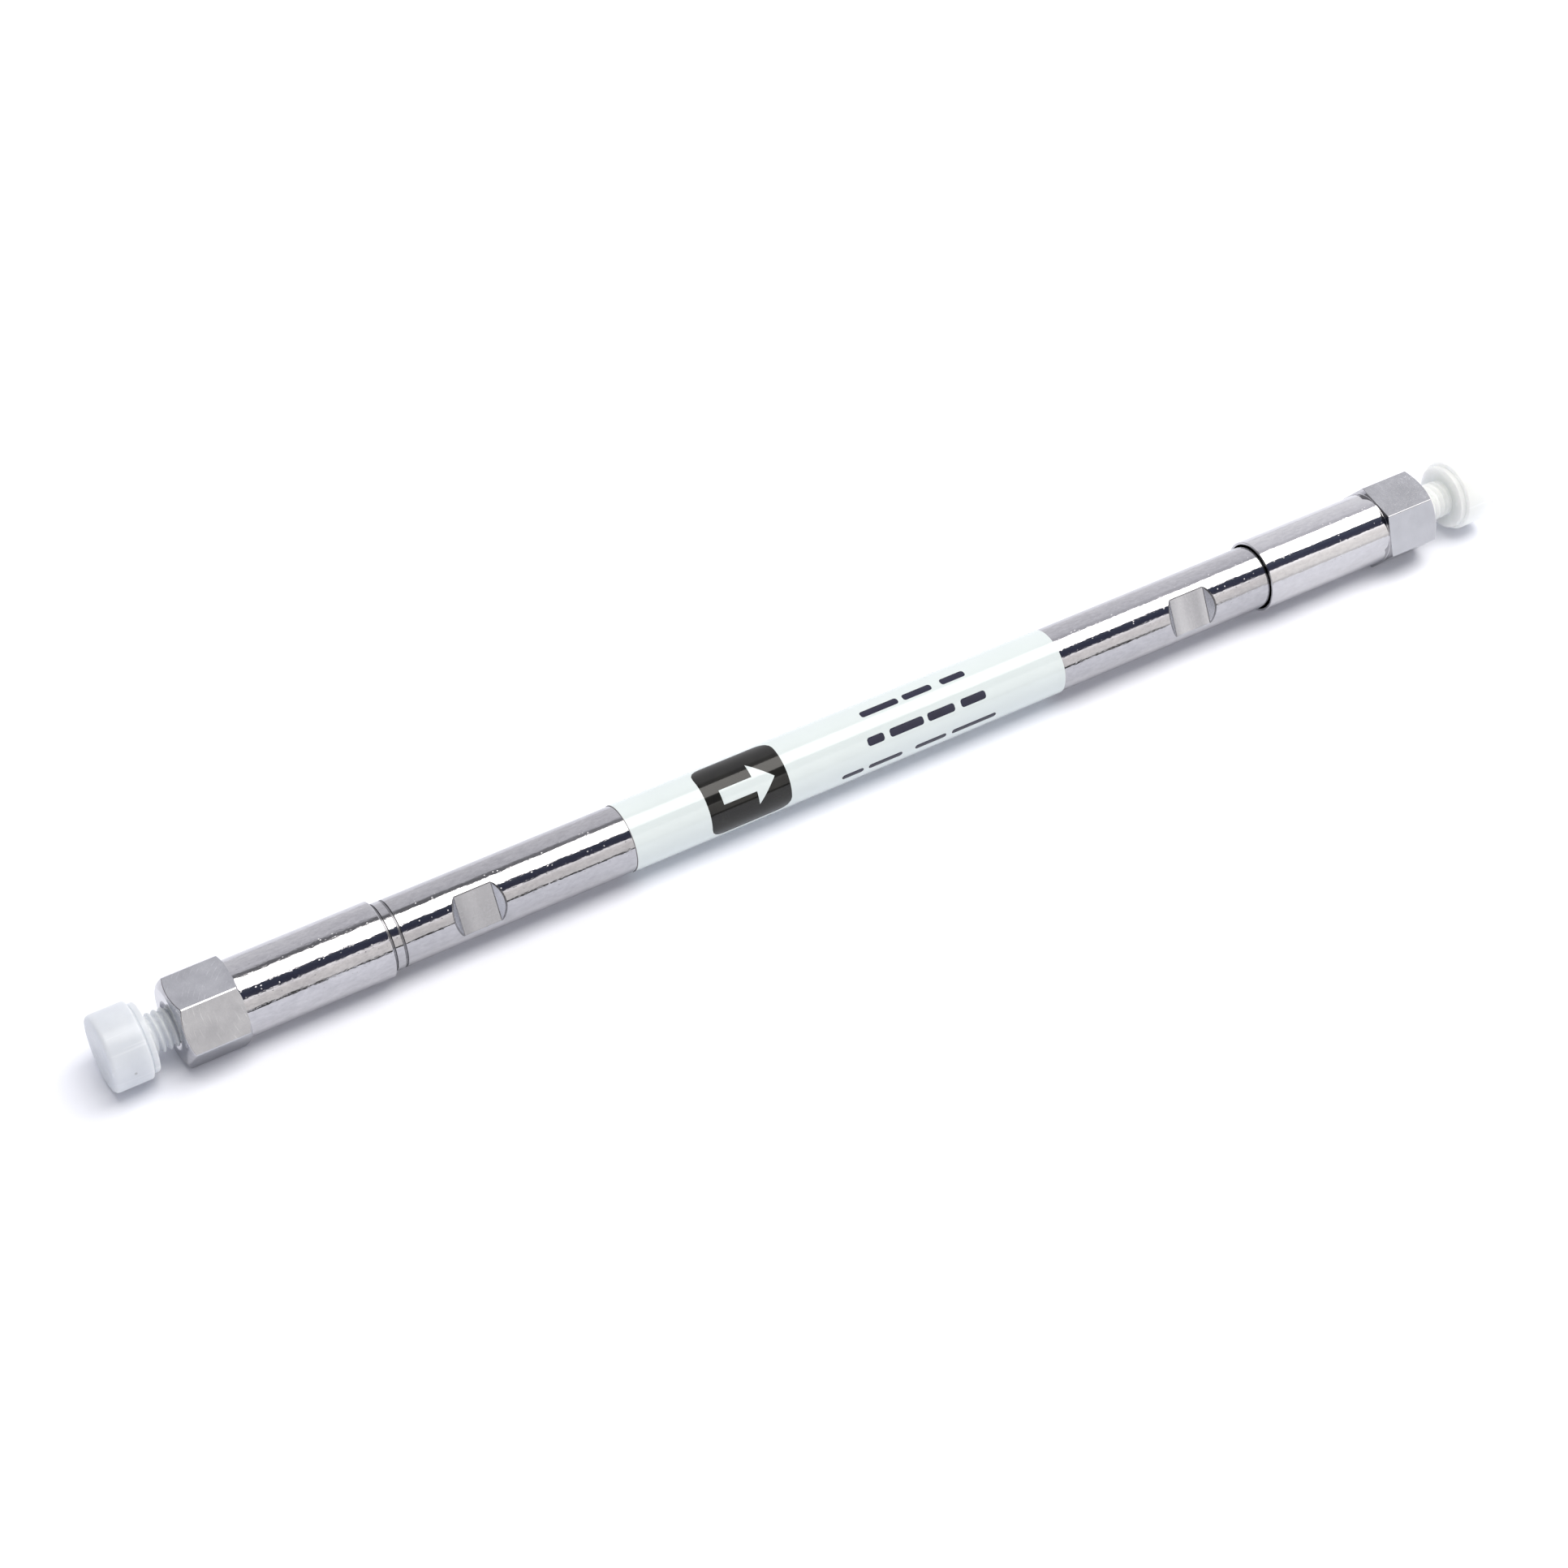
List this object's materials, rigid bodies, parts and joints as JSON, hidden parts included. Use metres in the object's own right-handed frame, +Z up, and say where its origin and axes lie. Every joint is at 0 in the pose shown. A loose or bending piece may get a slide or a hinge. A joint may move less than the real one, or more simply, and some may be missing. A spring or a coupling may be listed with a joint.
{
  "type": "hplc column",
  "caption": "Slim steel liquid chromatography column lying on its side, with hexagonal end fittings, a plain label band and screw-in end plugs.",
  "frame": {"origin": "on the surface it lies on, below the middle of the column", "axes": "+X along the column from the inlet end to the outlet end, within 0.13 degrees; +Z up"},
  "size_m": [0.1902, 0.011, 0.0103],
  "materials": {
    "tube_steel": "polished",
    "fitting_steel": "polished",
    "bed": "matte",
    "label": "satin",
    "frit_steel": "matte",
    "seal": "satin",
    "plug": "satin"
  },
  "bodies": {
    "column": {"column_tube": "tube_steel", "packed_bed": "bed", "label_film": "label", "inlet_end_fitting": "fitting_steel", "outlet_end_fitting": "fitting_steel", "inlet_frit": "frit_steel", "outlet_frit": "frit_steel", "inlet_frit_ring": "seal", "outlet_frit_ring": "seal"},
    "inlet_plug": {"inlet_plug": "plug"},
    "outlet_plug": {"outlet_plug": "plug"}
  },
  "joints": [
    {"name": "inlet_plug_out", "type": "slide", "parent": "column", "child": "inlet_plug", "axis": [-1, 0, -0.0022], "range_m": [0, 0.012]},
    {"name": "outlet_plug_out", "type": "slide", "parent": "column", "child": "outlet_plug", "axis": [1, 0, 0.0022], "range_m": [-0.0015, 0.012]}
  ]
}
